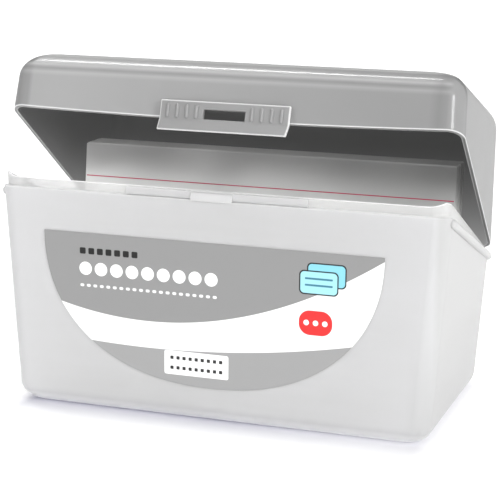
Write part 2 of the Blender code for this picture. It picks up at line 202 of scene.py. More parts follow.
def place_piece(name, mesh, finish, body, bevel=0.0):
    """An object at the origin, shaded smooth, riding on its body."""
    piece = bpy.data.objects.new(name, mesh)
    bpy.context.scene.collection.objects.link(piece)
    if finish is not None:
        mesh.materials.append(finish)
    mesh.shade_smooth()
    if bevel:
        round_off = piece.modifiers.new("edges", "BEVEL")
        round_off.width = bevel
        round_off.segments = 3
        round_off.limit_method = "ANGLE"
        round_off.angle_limit = radians(28.0)
        round_off.use_clamp_overlap = True
    else:
        mesh.set_sharp_from_angle(angle=radians(50.0))
    even = piece.modifiers.new("normals", "WEIGHTED_NORMAL")
    even.keep_sharp = True
    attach(piece, body)
    return piece


class Field:
    """A value that varies over a surface. Python's operators add its Math nodes."""

    def __init__(self, graph, socket):
        self.graph = graph
        self.socket = socket

    def math(self, operation, *others, first=None):
        values = [self, *others] if first is None else [first, self]
        sockets = dict(enumerate(values))
        return self.graph.add("ShaderNodeMath", {"operation": operation}, sockets)

    def __add__(self, other):
        return self.math("ADD", other)

    def __sub__(self, other):
        return self.math("SUBTRACT", other)

    def __rsub__(self, other):
        return self.math("SUBTRACT", first=other)

    def __mul__(self, other):
        return self.math("MULTIPLY", other)

    def __truediv__(self, other):
        return self.math("DIVIDE", other)

    def __pow__(self, other):
        return self.math("POWER", other)

    def __gt__(self, other):
        return self.math("GREATER_THAN", other)

    def __lt__(self, other):
        return self.math("LESS_THAN", other)

    def __abs__(self):
        return self.math("ABSOLUTE")

    __radd__ = __add__
    __rmul__ = __mul__

    def larger(self, other):
        return self.math("MAXIMUM", other)

    def smaller(self, other):
        return self.math("MINIMUM", other)

    def limited(self):
        return self.larger(0.0).smaller(1.0)

    def ramp(self, start, run):
        """Goes from 0 at start to 1 at the end of the run, which can point downwards."""
        return ((self - start) / run).limited()


class Graph:
    """A node tree that is built one node at a time."""

    def __init__(self, tree):
        self.tree = tree

    def add(self, kind, settings=None, sockets=None, output=0):
        """A node of a kind, its settings made first, then the values or links of sockets."""
        node = self.tree.nodes.new(kind)
        for key, value in (settings or {}).items():
            setattr(node, key, value)
        for key, value in (sockets or {}).items():
            if isinstance(value, Field):
                self.tree.links.new(value.socket, node.inputs[key])
            else:
                node.inputs[key].default_value = value
        return Field(self, node.outputs[output])

    def blend(self, share, first, second):
        return self.add("ShaderNodeMix", {"data_type": "RGBA"},
                        {0: share, 6: first, 7: second}, output=2)

    def layered(self, colour, *layers):
        """A colour with others laid over it, each as far as its share says."""
        for share, over in layers:
            colour = self.blend(share, colour, over)
        return colour


class Finish(Graph):
    """A material with one Principled shader."""

    def __init__(self, name, **constants):
        self.material = bpy.data.materials.new(name)
        self.material.use_nodes = True
        super().__init__(self.material.node_tree)
        self.shader = self.tree.nodes["Principled BSDF"]
        for key, value in constants.items():
            self.input(key).default_value = value
        self.place = self.add("ShaderNodeTexCoord", output="Object")

    def input(self, key):
        name = "Specular IOR Level" if key == "specular" else key.replace("_", " ").title()
        return self.shader.inputs[name]

    def axes(self):
        parts = self.add("ShaderNodeSeparateXYZ", None, {0: self.place}).socket.node
        return [Field(self, parts.outputs[index]) for index in range(3)]

    def mark(self, name):
        """A value that the mesh carries at each of its points."""
        return self.add("ShaderNodeAttribute", {"attribute_name": name}, output=2)

    def noise(self, scale, detail, stretch=(1.0, 1.0, 1.0)):
        spread = self.add("ShaderNodeMapping", None, {"Vector": self.place, "Scale": stretch})
        return self.add("ShaderNodeTexNoise", None, {
            "Vector": spread, "Scale": scale, "Detail": detail, "Roughness": 0.55})

    def bump(self, height, strength, distance):
        return self.add("ShaderNodeBump", None, {
            "Height": height, "Strength": strength, "Distance": distance})

    def feed(self, **links):
        for key, value in links.items():
            self.tree.links.new(value.socket, self.input(key))
        return self.material


def tone(red, green=None, blue=None):
    """A linear colour, with alpha, from the usual 0 to 255 values."""
    values = (red, red if green is None else green, red if blue is None else blue)
    return (*[((v / 255 + 0.055) / 1.055) ** 2.4 for v in values], 1.0)


def frosted_polypropylene():
    finish = Finish("frosted_polypropylene", specular=0.25, subsurface_weight=0.6,
                    subsurface_radius=(1.0, 1.0, 1.0), subsurface_scale=3.0 * MM,
                    emission_strength=1.0)
    cloud = finish.noise(scale=14.0, detail=2.0)
    streak = finish.noise(scale=60.0, detail=3.0, stretch=(0.25, 0.25, 2.0))
    grain = finish.noise(scale=2600.0, detail=2.0)
    thin = finish.mark("thin")
    glow = finish.mark("glow")
    x, _, z = finish.axes()
    # Body tone: painted shade, darker low on the walls and lighter towards the top, with random
    # mottle and streaks.
    height = z / front_height * 0.5 + 0.25 + (cloud - 0.5) * 1.2 + (streak - 0.5) * 0.9
    # Painted light: the walls grow lighter towards both ends.
    lit_ends = (abs(x) / (72.0 * MM)) ** 3
    # Painted shade: the right side face gets a tone of its own.
    shaded_right_side = x.ramp(67.5 * MM, 1.5 * MM)
    # Painted shade: darker low down towards the right end.
    shaded_low_right = x.ramp(60.0 * MM, 8.0 * MM) * z.ramp(36.0 * MM, -36.0 * MM)
    # Painted light: the foot's rounding is lighter, against the shade where it meets the floor.
    foot = z.ramp(4.0 * MM, -4.0 * MM)
    # Painted light: the lowest rounding glows, lifting its shade.
    underside = z.ramp(1.8 * MM, -1.8 * MM)
    # Painted light makes the thin lip lighter than the body; painted shade darkens the lip on
    # the left.
    shaded_left_lip = x.ramp(-35.0 * MM, -25.0 * MM)
    # The glow mark is painted light: a highlight along the rim top, a lighter crease under the
    # lip and a lighter catch. Towards the left ear this highlight is darker, as painted shade.
    left_ear = x.ramp(-61.0 * MM, -4.0 * MM)
    colour = finish.layered(
        finish.blend(height.limited(), tone(179), tone(190, 190, 191)),
        (lit_ends.limited(), tone(193, 193, 194)),
        (shaded_right_side, tone(184)),
        (shaded_low_right, tone(171)),
        (foot, tone(246, 246, 245)),
        (thin * 0.9, finish.blend(shaded_left_lip, tone(224, 224, 223), tone(198))),
        (glow, finish.blend(left_ear, tone(252), tone(212))))
    return finish.feed(
        base_color=colour,
        emission_color=finish.blend(underside, tone(0), tone(112)),
        roughness=0.42 + (grain - 0.5) * 0.12 + (cloud - 0.5) * 0.08,
        alpha=1.0 - thin * (0.5 - left_ear * 0.4),
        normal=finish.bump(grain + (cloud - 0.5) * 0.6, 0.12, 0.05 * MM))


frosted = frosted_polypropylene()

edge_round = 0.3 * MM
rim_round = 0.34 * MM
inner_round = 0.2 * MM
# Painted light laid on the crease under the lip, against its shade.
ledge_glow = 0.35


def base_column(place):
    """A line of points up the outside, over the rim and down the inside."""
    column = Column("thin", "glow")

    def point_at(inset, z, radius):
        half_x = side_face(z) - inset
        flat = outline_point(place, half_x, half_x, front_face(z) + inset,
                             rear_face(z) - inset, radius)
        return Vector((flat.x, flat.y, z))

    def add(inset, z, radius, thin=0.0, glow=0.0):
        column.add(point_at(inset, z, radius), thin=thin, glow=glow)

    lip_radius = base_corner - lip_inset / 2
    inner_radius = base_corner - wall / 2
    middle = point_at(wall / 2, front_height, inner_radius)
    if middle.y >= 0:
        middle = point_at(wall / 2, rear_height, inner_radius)
    rim = rim_height(middle.x, middle.y)
    ledge = shoulder_height(middle.y)
    for turn in quarter_turn(8):
        add(base_bottom_round * (1 - sin(turn)), base_bottom_round * (1 - cos(turn)),
            base_corner)
    low, high = base_bottom_round, ledge - edge_round
    for share in (0.15, 0.3, 0.45, 0.6, 0.75, 0.9, 0.98):
        add(0.0, low + (high - low) * share, base_corner)
    for turn in quarter_turn(4):
        add(edge_round * (1 - cos(turn)), high + edge_round * sin(turn), base_corner)
    for turn in quarter_turn(3):
        add(lip_inset - inner_round * (1 - sin(turn)), ledge + inner_round * (1 - cos(turn)),
            lip_radius, thin=turn / (pi / 2), glow=ledge_glow)
    low, high = ledge + inner_round, rim - rim_round
    for share in (0.3, 0.6, 0.9):
        add(lip_inset, low + (high - low) * share, lip_radius, thin=1.0)
    # Round the rim, the glow mark paints a highlight along its top.
    for turn in quarter_turn(4):
        add(lip_inset + rim_round * (1 - cos(turn)), high + rim_round * sin(turn),
            lip_radius, thin=1.0 - sin(turn), glow=sin(turn))
    for turn in reversed(quarter_turn(4)):
        add(wall - rim_round * (1 - cos(turn)), high + rim_round * sin(turn),
            inner_radius, thin=1.0 - sin(turn), glow=sin(turn))
    add(wall, ledge, inner_radius, thin=1.0)
    add(wall, ledge - edge_round, inner_radius)
    low, high = floor_top + floor_round, ledge - edge_round
    for share in (0.97, 0.7, 0.4, 0.1):
        add(wall, low + (high - low) * share, inner_radius)
    for turn in reversed(quarter_turn(6)):
        add(wall + floor_round * (1 - sin(turn)), floor_top + floor_round * (1 - cos(turn)),
            inner_radius)
    return column


base_columns = [base_column(place)
                for place in stations(corner_steps=12, side_steps=28, front_steps=56)]
base_mesh = shell_mesh("base_shell", [column.points for column in base_columns],
                       base_columns[0].marks)
base_shell = place_piece("base_shell", base_mesh, frosted, "base")
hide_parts("base_box")

# Side beads. A half-round rib is moulded along each side under the rim, with rounded
# ends. The lid's slanted edge comes down just above it.
bead_radius = 1.4 * MM
bead_sink = 0.3 * MM
bead_gap = 0.35 * MM
bead_front_inset = 4.6 * MM
bead_rear_inset = 3.4 * MM


def capsule_rows(start, end, radius, around_steps, bow_steps):
    """Rings of a straight rod with half-round ends, which doesn't run along X."""
    run = (end - start).normalized()
    side = Vector((1.0, 0.0, 0.0))
    across = (side - run * side.dot(run)).normalized()
    up = run.cross(across)
    bows = quarter_turn(bow_steps)[1:]
    rings = []
    for middle, sign, turns in ((start, -1, bows), (end, 1, bows[::-1])):
        for turn in turns:
            centre = middle + run * (sign * radius * cos(turn))
            rings.append([
                centre + (across * cos(around) + up * sin(around)) * (radius * sin(turn))
                for around in full_turn(around_steps)])
    return rings


def loft_mesh(name, rings):
    """Closed mesh through rings of points."""
    return shell_mesh(name, list(zip(*rings)))


bead_drop = (bead_gap + bead_radius) / cos(atan(lid_fall))
bead_places = (front_face(front_height) + bead_front_inset,
               rear_face(rear_height) - bead_rear_inset)
for side, label in ((-1, "left"), (1, "right")):
    ends = []
    for y in bead_places:
        z = lid_edge(y) - bead_drop
        ends.append(Vector((side * (side_face(z) - bead_sink), y, z)))
    place_piece("side_bead_" + label,
                loft_mesh("side_bead", capsule_rows(*ends, bead_radius, 24, 6)),
                frosted, "base")

# Catch. A small wedge on the front lip that the latch tab's hook passes under, on a low
# wide land that stiffens the lip. Both are part of the moulding.
lip_face = front_face(front_height) + lip_inset
lip_root = lip_face + 0.3 * MM
land_half = 29.0 * MM
land_face = lip_face - 0.45 * MM
land_top = front_height - 0.45 * MM
land_bottom = front_height - front_band + 0.05 * MM
catch_left = -7.9 * MM
catch_right = 5.5 * MM
catch_top = front_height - 0.1 * MM
catch_bottom = catch_top - 3.3 * MM
catch_tip = lip_face - 0.25 * MM
catch_face = lip_face - 1.2 * MM
catch_glow = 0.15


def prism_mesh(name, outline, start, end):
    """Closed mesh of an outline in Y and Z, drawn from one X to another."""
    return loft_mesh(name, [[Vector((x, y, z)) for y, z in outline] for x in (start, end)])


land_outline = ((lip_root, land_top), (land_face, land_top),
                (land_face, land_bottom), (lip_root, land_bottom))
place_piece("lip_land", prism_mesh("lip_land", land_outline, -land_half, land_half),
            frosted, "base", bevel=0.2 * MM)
catch_outline = ((lip_root, catch_top), (catch_tip, catch_top),
                 (catch_face, catch_bottom), (lip_root, catch_bottom))
catch = place_piece("lid_catch",
                    prism_mesh("lid_catch", catch_outline, catch_left, catch_right),
                    frosted, "base", bevel=0.22 * MM)
# Painted light: the catch carries the glow mark, so it shows lighter than the lip.
for item in catch.data.attributes.new("glow", "FLOAT", "POINT").data:
    item.value = catch_glow

# Hinge lugs. Two pairs of ears stand behind the back wall, each bored for a pin of the
# lid, with a gusset that runs down into the wall.
hinge_reach = 4.6 * MM
hinge_rise = 0.3 * MM
hinge_place = 42.0 * MM
hinge = Vector((0.0, rear_face(rear_height) + hinge_reach, rear_height + hinge_rise))
lug_round = 2.7 * MM
lug_thickness = 2.6 * MM
pin_radius = 1.1 * MM
barrel_half = 6.0 * MM
gusset_reach = 9.0 * MM
gusset_top = lid_rear_z - 0.6 * MM
wall_root = rear_face(gusset_top) - wall / 2


def lug_mesh(start, end):
    """A lug's plate with its bore, as one closed mesh between two places along X."""
    outer, bore = [], []
    for turn in full_turn(30):
        run = Vector((cos(turn), sin(turn)))
        reach = lug_round
        if run.x < 0 and run.y < 0:
            reach = max(lug_round, min((wall_root - hinge.y) / run.x, gusset_reach))
        outer.append(run * reach)
        bore.append(run * (pin_radius + seat_gap))
    bm = bmesh.new()
    rings = []
    for x, shape in ((start, outer), (end, outer), (end, bore), (start, bore)):
        rings.append([bm.verts.new((x, hinge.y + point.x, hinge.z + point.y))
                      for point in shape])
    for ring, ring_after in zip(rings, rings[1:] + rings[:1]):
        for i in range(len(ring)):
            bm.faces.new((ring[i - 1], ring[i], ring_after[i], ring_after[i - 1]))
    return finished_mesh("hinge_lug", bm)


for index, (hinge_side, lug_side) in enumerate(((-1, -1), (-1, 1), (1, -1), (1, 1))):
    x = hinge_side * hinge_place + lug_side * (barrel_half + seat_gap + lug_thickness / 2)
    place_piece("hinge_lug_%d" % (index + 1),
                lug_mesh(x - lug_thickness / 2, x + lug_thickness / 2),
                frosted, "base", bevel=0.2 * MM)

# Lid. A deep cover in smoky grey translucent plastic with a generous radius round its
# top. Its lower edge slants with the base's sides and sags a little in front, where a
# notch is left behind the latch tab.
lid_open = radians(17.2)
lid_front_draft = radians(0.8)
lid_rear_draft = radians(1.0)
lid_side_draft = radians(2.7)
lid_top_tilt = radians(2.0)
lid_front_x = side_face(front_height) - lip_inset + seat_gap + lid_wall
lid_rear_spare = 0.1 * MM
lid_rear_x = side_face(rear_height) - lip_inset + seat_gap + lid_wall + lid_rear_spare
lid_taper = (lid_front_x - lid_rear_x + (lid_front_z - lid_rear_z) * tan(lid_side_draft)) / (
    lid_rear_y - lid_front_y)
card_lean = radians(6.0)
card_foot_z = floor_top + 0.3 * MM
room_over_cards = 11.8 * MM
lid_top_wall = 1.4 * MM
lid_top_z = card_foot_z + card_height * cos(card_lean) + room_over_cards + lid_top_wall
lid_corner = 5.0 * MM
lid_round = 8.0 * MM
lid_bottom = lid_rear_z - 5.0 * MM
sag = 1.25 * MM
sag_depth = 9.0 * MM
tab_height = 9.5 * MM
tab_bottom = lid_front_z - sag - 4.2 * MM
tab_top = tab_bottom + tab_height
slot_half = 13.4 / 2 * MM
slot_height = 3.0 * MM
slot_bottom = lid_front_z - sag - 0.15 * MM
slot_top = slot_bottom + slot_height
notch_margin = 0.6 * MM
notch_half = slot_half + notch_margin


def opened(point):
    """A place on the closed lid, moved to where the open lid holds it."""
    return hinge + Matrix.Rotation(-lid_open, 3, "X") @ (point - hinge)


def lid_point(place, z, inset, radius, tilt_share):
    front = lid_front_y - (z - lid_front_z) * tan(lid_front_draft) + inset
    rear = lid_rear_y - (z - lid_rear_z) * tan(lid_rear_draft) - inset

    def half(y):
        return (lid_front_x - (y - lid_front_y) * lid_taper
                - (z - lid_front_z) * tan(lid_side_draft) - inset)

    flat = outline_point(place, half(front), half(rear), front, rear, radius)
    tilt = (flat.y - (front + rear) / 2) * tan(lid_top_tilt)
    return Vector((flat.x, flat.y, z + tilt_share * tilt))


def lid_lower_edge(point):
    across = min(abs(point.x) / lid_front_x, 1.0)
    into = min(max((point.y - lid_front_y) / sag_depth, 0.0), 1.0)
    z = lid_edge(point.y) - sag * (1 - across ** 2) * (1 - into)
    if point.y < lid_front_y + 3.0 * MM and abs(point.x) < notch_half:
        z = slot_top + notch_margin
    return z


def on_wall(foot, head, raise_by):
    """The point of a wall line that lies a little above the lid's lower edge."""
    share = 0.5
    for _ in range(8):
        share = (lid_lower_edge(foot.lerp(head, share)) + raise_by - foot.z) / (head.z - foot.z)
    return foot.lerp(head, share)


front_run = 2 * (lid_front_x - lid_corner)
notch_shares = [0.5 + sign * (notch_half + shift * MM) / front_run
                for sign in (-1, 1) for shift in (-0.4, -0.03, 0.03, 0.4)]
turn_up = 0.5 * MM
# Painted highlights along the rounding of the lower edge: these rows are lighter and glow.
edge_glow_shares = (0.0, 0.0, 1.0, 0.3, 0.0, 0.0, 0.4, 1.0, 0.0)
# Painted light on the top rounding: a lit band at its top and light lines beside the painted
# groove.
fillet_light_shares = (0.0, 0.35, 0.0, 0.6, 0.0, 0.0, 0.0, 1.0, 1.0, 1.0, 1.0)
# Painted shade: a dark line on the top rounding, standing in for a groove's shadow.
groove_shade_shares = (0.0, 0.0, 0.55, 0.0, 0.0, 0.0, 0.0, 0.0, 0.0, 0.0, 0.0)


def lid_column(place):
    """A line of points down the inside, round the lower edge and up the outside."""
    column = Column("inside", "glow", "fillet_light", "step")

    def add(point, **given):
        column.add(opened(point), **given)

    inner_round_top = lid_round - lid_wall
    inner_corner = lid_corner - lid_wall
    inner_top = lid_top_z - lid_top_wall
    inner_head = lid_point(place, inner_top - inner_round_top, lid_wall, inner_corner, 1.0)
    inner_foot = lid_point(place, lid_bottom, lid_wall, inner_corner, 0.0)
    outer_head = lid_point(place, lid_top_z - lid_round, 0.0, lid_corner, 1.0)
    outer_foot = lid_point(place, lid_bottom, 0.0, lid_corner, 0.0)
    inner_edge = on_wall(inner_foot, inner_head, turn_up)
    outer_edge = on_wall(outer_foot, outer_head, turn_up)
    for turn in reversed(quarter_turn(8)):
        add(lid_point(place, inner_top - inner_round_top * (1 - sin(turn)),
                      lid_wall + inner_round_top * (1 - cos(turn)), inner_corner, 1.0),
            inside=1.0)
    for share in (0.1, 0.3, 0.5, 0.7, 0.88, 0.97):
        add(inner_head.lerp(inner_edge, share), inside=1.0)
    for step, glow in enumerate(edge_glow_shares):
        turn = pi * step / (len(edge_glow_shares) - 1)
        along = (1 - abs(cos(turn)) ** 0.5 * (1 if turn < pi / 2 else -1)) / 2
        point = inner_edge.lerp(outer_edge, along)
        if 0 < turn < pi:
            point.z -= turn_up * sin(turn) ** 0.5
        add(point, inside=1.0 if turn < pi / 3 else 0.0, glow=glow)
    for share in (0.04, 0.12, 0.3, 0.5, 0.7, 0.9):
        add(outer_edge.lerp(outer_head, share))
    for turn, fillet_light, step in zip(quarter_turn(10), fillet_light_shares, groove_shade_shares):
        add(lid_point(place, lid_top_z - lid_round * (1 - sin(turn)),
                      lid_round * (1 - cos(turn)), lid_corner, 1.0),
            fillet_light=fillet_light, step=step)
    return column


lid_front_foot = opened(Vector((0.0, lid_front_y, lid_front_z)))


def smoky_plastic(name, light, dark, inner, edge, roughness):
    """Grey plastic with shade painted in, darker to the right, and other tones inside and on
    its edges that are painted light.
    """
    finish = Finish(name, specular=0.3, coat_roughness=0.06,
                    subsurface_weight=0.3, subsurface_radius=(1.0, 1.0, 1.0),
                    subsurface_scale=1.5 * MM, emission_strength=0.8)
    cloud = finish.noise(scale=22.0, detail=2.0)
    grain = finish.noise(scale=1900.0, detail=2.0)
    inside = finish.mark("inside")
    glow = finish.mark("glow")
    x, y, z = finish.axes()
    # Painted shade: darker towards the right, with random cloud.
    shade_to_right = (x / (150.0 * MM) + 0.5 + (cloud - 0.5) * 0.4).limited()
    behind = y - lid_front_foot.y - (z - lid_front_foot.z) * tan(lid_open - lid_front_draft)
    # Painted shade: the left end is darker.
    shaded_left_end = x.ramp(-65.2 * MM, -1.4 * MM)
    # Painted light and shade: the right corner and, behind it, the right side get tones of
    # their own.
    painted_right_end = x.ramp(67.4 * MM, 1.2 * MM)
    shaded_right_side = painted_right_end * behind.ramp(3.4 * MM, 1.6 * MM)
    # Painted reflection: a dark band just before the right corner.
    dark_reflection_band = abs(x - 65.0 * MM).ramp(3.0 * MM, -3.0 * MM)
    low = z.ramp(100.0 * MM, -50.0 * MM)
    colour = finish.layered(
        finish.blend(shade_to_right, light, dark),
        (shaded_left_end, tone(136)),
        (finish.mark("fillet_light") * 0.8, tone(182)),
        (finish.mark("step"), tone(128)),
        (dark_reflection_band * 0.3, tone(110)),
        (painted_right_end, tone(143)),
        (shaded_right_side, tone(112)),
        (inside, inner),
        # painted highlight: the edges are lighter
        (glow, edge))
    # Inside, a tone of its own and a painted glow, lighter low down and darker to the right,
    # for light through the walls.
    through = finish.blend(low ** 3.0, finish.blend(shade_to_right, tone(46), tone(35)), tone(142))
    return finish.feed(
        base_color=colour,
        emission_color=finish.layered(tone(0), (inside, through), (glow, tone(118))),
        roughness=roughness + (grain - 0.5) * 0.05 + (cloud - 0.5) * 0.06,
        coat_weight=0.11 + shade_to_right * 0.36 - shaded_right_side * 0.4,
        normal=finish.bump(grain * 0.3 + cloud, 0.05, 0.04 * MM))


smoky = smoky_plastic("smoky_plastic", light=tone(155), dark=tone(136), inner=tone(131),
                      edge=tone(206), roughness=0.30)
lid_columns = [lid_column(place) for place in stations(
    corner_steps=14, side_steps=30, front_steps=64, extra=notch_shares)]
lid_mesh = shell_mesh("lid_cover", [column.points for column in lid_columns],
                      lid_columns[0].marks)
lid_cover = place_piece("lid_cover", lid_mesh, smoky, "lid")
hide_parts("lid_shell")

# Lid hinge. Two barrels behind the lid carry a pin at each end, hang on short arms, and
# have a heel below that meets the back wall when the lid is fully open.
full_opening = radians(110.0)
heel_reach = hinge.y - rear_face(hinge.z) - seat_gap
heel_width = 3.0 * MM
arm_front = lid_rear_y - lid_wall / 2 - hinge.y
arm_bottom = lid_rear_z - hinge.z
arm_top = arm_bottom + 3.0 * MM
arm_step = 0.25 * MM
heel_step = 0.5 * MM
barrel_radius = 2.4 * MM


def open_prism(name, outline, start, end):
    """A prism drawn on the closed lid and moved to where the open lid holds it."""
    mesh = prism_mesh(name, outline, start, end)
    for vert in mesh.vertices:
        vert.co = opened(vert.co)
    return mesh


def round_outline(radius):
    return [(radius * cos(turn), radius * sin(turn)) for turn in full_turn(32)]


heel_turn = pi + full_opening
heel_foot = Vector((cos(heel_turn), sin(heel_turn))) * heel_reach
heel_across = Vector((-sin(heel_turn), cos(heel_turn))) * heel_width
hinge_parts = {
    "barrel": (round_outline(barrel_radius), barrel_half),
    "pin": (round_outline(pin_radius), barrel_half + seat_gap + lug_thickness),
    "arm": (((arm_front, arm_bottom), (0.0, -barrel_radius / 2),
             (0.0, barrel_radius * 0.8), (arm_front, arm_top)), barrel_half - arm_step),
    "heel": (((0.0, 0.0), heel_foot, heel_foot + heel_across, heel_across * 0.5),
             barrel_half - heel_step),
}
for side, label in ((-1, "left"), (1, "right")):
    x = side * hinge_place
    for part, (outline, half) in hinge_parts.items():
        outline = [(hinge.y + y, hinge.z + z) for y, z in outline]
        place_piece("hinge_%s_%s" % (part, label),
                    open_prism(part, outline, x - half, x + half),
                    smoky, "lid", bevel=0.2 * MM)

# Latch tab. A thin flap in front of the skirt, sprung at its upper edge, bent outwards
# at its foot so that a finger can lift it. A slot and upright finger ribs are moulded in.
tab_half = 20.7 * MM
tab_foot_half = 20.5 * MM
tab_thickness = 1.3 * MM
tab_flare = 1.9 * MM
tab_gap = 0.3 * MM
tab_glow_width = 0.4 * MM
tab_bend = slot_bottom - 0.4 * MM
tab_back = lid_front_y - (tab_top - lid_front_z) * tan(lid_front_draft) - tab_gap
beside_slot = tab_half - slot_half
tab_columns = [slot_half * share for share in (0.0, 0.33, 0.66, 0.91)] + [
    slot_half + beside_slot * share
    for share in (0.0, 0.06, 0.19, 0.38, 0.59, 0.81, 0.91, 0.965, 1.0)]
near_edge = 0.5 * MM
near_slot = 0.6 * MM
tab_rows = [tab_bottom, tab_bottom + near_edge, tab_bottom + 1.4 * MM, tab_bend - near_edge,
            tab_bend, slot_bottom, slot_bottom + near_slot, slot_top - near_slot, slot_top,
            slot_top + 0.8 * MM, tab_top - near_edge, tab_top]


def tab_mesh():
    """The bent flap and its slot: a grid on each face, joined round their borders."""
    xs = sorted({side * x for side in (-1, 1) for x in tab_columns})
    bm = bmesh.new()
    glow = bm.verts.layers.float.new("glow")
    sheets = []
    for depth in (0.0, tab_thickness):
        sheet = {}
        for x in xs:
            for z in tab_rows:
                low = max(tab_bend - z, 0.0) / (tab_bend - tab_bottom)
                wide = x * (tab_half + (tab_foot_half - tab_half) * low) / tab_half
                y = tab_back - tab_flare * low - depth
                border = min(tab_half - abs(x), z - tab_bottom, tab_top - z)
                sheet[x, z] = bm.verts.new(opened(Vector((wide, y, z))))
                # Painted highlight: a glow mark along the flap's border.
                sheet[x, z][glow] = max(0.0, 1.0 - border / tab_glow_width)
        sheets.append(sheet)
    for sheet in sheets:
        for x0, x1 in zip(xs, xs[1:]):
            for z0, z1 in zip(tab_rows, tab_rows[1:]):
                in_slot = abs(x0 + x1) / 2 < slot_half and slot_bottom <= z0 < slot_top
                if not in_slot:
                    bm.faces.new((sheet[x0, z0], sheet[x1, z0], sheet[x1, z1], sheet[x0, z1]))
    front_of = dict(zip(sheets[0].values(), sheets[1].values()))
    for edge in [edge for edge in bm.edges if len(edge.link_faces) == 1]:
        a, b = edge.verts
        if a in front_of and b in front_of:
            bm.faces.new((a, b, front_of[b], front_of[a]))
    loose = [vert for vert in bm.verts if not vert.link_faces]
    bmesh.ops.delete(bm, geom=loose, context="VERTS")
    return finished_mesh("latch_flap", bm)


# The latch has the same painted light and shade, here lighter towards the right.
clear_grey = smoky_plastic("clear_grey_plastic", light=tone(133), dark=tone(148),
                           inner=tone(122), edge=tone(200), roughness=0.24)
flap = place_piece("latch_flap", tab_mesh(), clear_grey, "latch",
                   bevel=0.28 * MM)
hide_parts("latch_tab")

hook_half = 7.5 * MM
hook_tip = tab_back + 0.42 * MM
hook_root = tab_back - 0.3 * MM
hook_top = tab_bottom + 2.8 * MM
hook_lip = tab_bottom + 2.2 * MM
hook_foot = tab_bottom + 0.4 * MM
hook_outline = ((hook_root, tab_bend), (tab_back, tab_bend), (tab_back, hook_top),
                (hook_tip, hook_top), (hook_tip, hook_lip), (hook_root, hook_foot),
                (hook_root - tab_flare, hook_foot))
place_piece("latch_hook", open_prism("latch_hook", hook_outline, -hook_half, hook_half),
            clear_grey, "latch", bevel=0.12 * MM)


def grown(name, seed_mesh, points, material, **values):
    """The plain mesh of copies of a seed shape on the points of a Geometry Nodes tree."""
    tree = bpy.data.node_groups.new(name, "GeometryNodeTree")
    face = tree.interface
    face.new_socket("shape", in_out="INPUT", socket_type="NodeSocketGeometry")
    for key, value in values.items():
        kind = "NodeSocketInt" if isinstance(value, int) else "NodeSocketFloat"
        face.new_socket(key, in_out="INPUT", socket_type=kind)
    face.new_socket("pieces", in_out="OUTPUT", socket_type="NodeSocketGeometry")
    graph = Graph(tree)
    inputs = tree.nodes.new("NodeGroupInput")
    given = {key: Field(graph, inputs.outputs[key]) for key in values}
    copies = graph.add("GeometryNodeInstanceOnPoints", None, {
        "Points": points(graph, **given), "Instance": Field(graph, inputs.outputs["shape"])})
    real = graph.add("GeometryNodeRealizeInstances", None, {0: copies})
    done = graph.add("GeometryNodeSetMaterial", None, {"Geometry": real, "Material": material})
    output = tree.nodes.new("NodeGroupOutput")
    tree.links.new(done.socket, output.inputs["pieces"])

    host = bpy.data.objects.new(name + "_seed", seed_mesh)
    bpy.context.scene.collection.objects.link(host)
    modifier = host.modifiers.new("grow", "NODES")
    modifier.node_group = tree
    for item in face.items_tree:
        if item.name in values:
            modifier[item.identifier] = values[item.name]
    bpy.context.view_layer.update()
    depsgraph = bpy.context.evaluated_depsgraph_get()
    mesh = bpy.data.meshes.new_from_object(host.evaluated_get(depsgraph))
    host.modifiers.remove(modifier)
    bpy.data.objects.remove(host)
    mesh.name = name
    return mesh


def two_rows(graph, count, pitch, first):
    """Points in a row on each side of the slot."""
    rows = []
    for sign in (-1.0, 1.0):
        start = graph.add("ShaderNodeCombineXYZ", None, {0: first * sign})
        step = graph.add("ShaderNodeCombineXYZ", None, {0: pitch * sign})
        rows.append(graph.add("GeometryNodeMeshLine", None, {
            "Count": count, "Start Location": start, "Offset": step}))
    both = graph.add("GeometryNodeJoinGeometry", None, {0: rows[0]})
    graph.tree.links.new(rows[1].socket, both.socket.node.inputs[0])
    return both


rib_radius = 0.62 * MM
rib_pitch = 3.1 * MM
rib_margin = 2.2 * MM
rib_sink = 0.15 * MM
rib_low = Vector((0.0, 0.0, tab_bend + 0.9 * MM))
rib_high = Vector((0.0, 0.0, tab_top - 1.6 * MM))
rib_seed = loft_mesh("rib", capsule_rows(rib_low, rib_high, rib_radius, 14, 4))
ribs = grown("latch_ribs", rib_seed, two_rows, clear_grey,
             count=4, pitch=rib_pitch, first=slot_half + rib_margin)
rib_face = Vector((0.0, tab_back - tab_thickness + rib_sink, 0.0))
for vert in ribs.vertices:
    vert.co = opened(vert.co + rib_face)
place_piece("latch_ribs", ribs, None, "latch")

# Label. A printed paper sticker on the front wall, straight on top and one round curve
# below. The print is a plain design in greys and white with a few small shapes.
label_half = 54.7 * MM
label_height = 45.9 * MM
label_bottom = 11.4 * MM
label_shift = -1.7 * MM
label_curve = 2.2
label_gap = 0.04 * MM
label_thickness = 0.12 * MM
label_steps = 96


def label_mesh():
    rings = []
    for lift in (label_gap, label_gap + label_thickness):
        ring = []
        for step in range(label_steps + 1):
            turn = pi * step / label_steps
            side = -1 if turn < pi / 2 else 1
            across = abs(cos(turn)) ** (2 / label_curve)
            down = abs(sin(turn)) ** (2 / label_curve)
            x = side * across * label_half + label_shift
            z = label_bottom + label_height * (1 - down)
            ring.append(Vector((x, front_face(z) - lift, z)))
        rings.append(ring)
    return loft_mesh("label_sheet", rings)


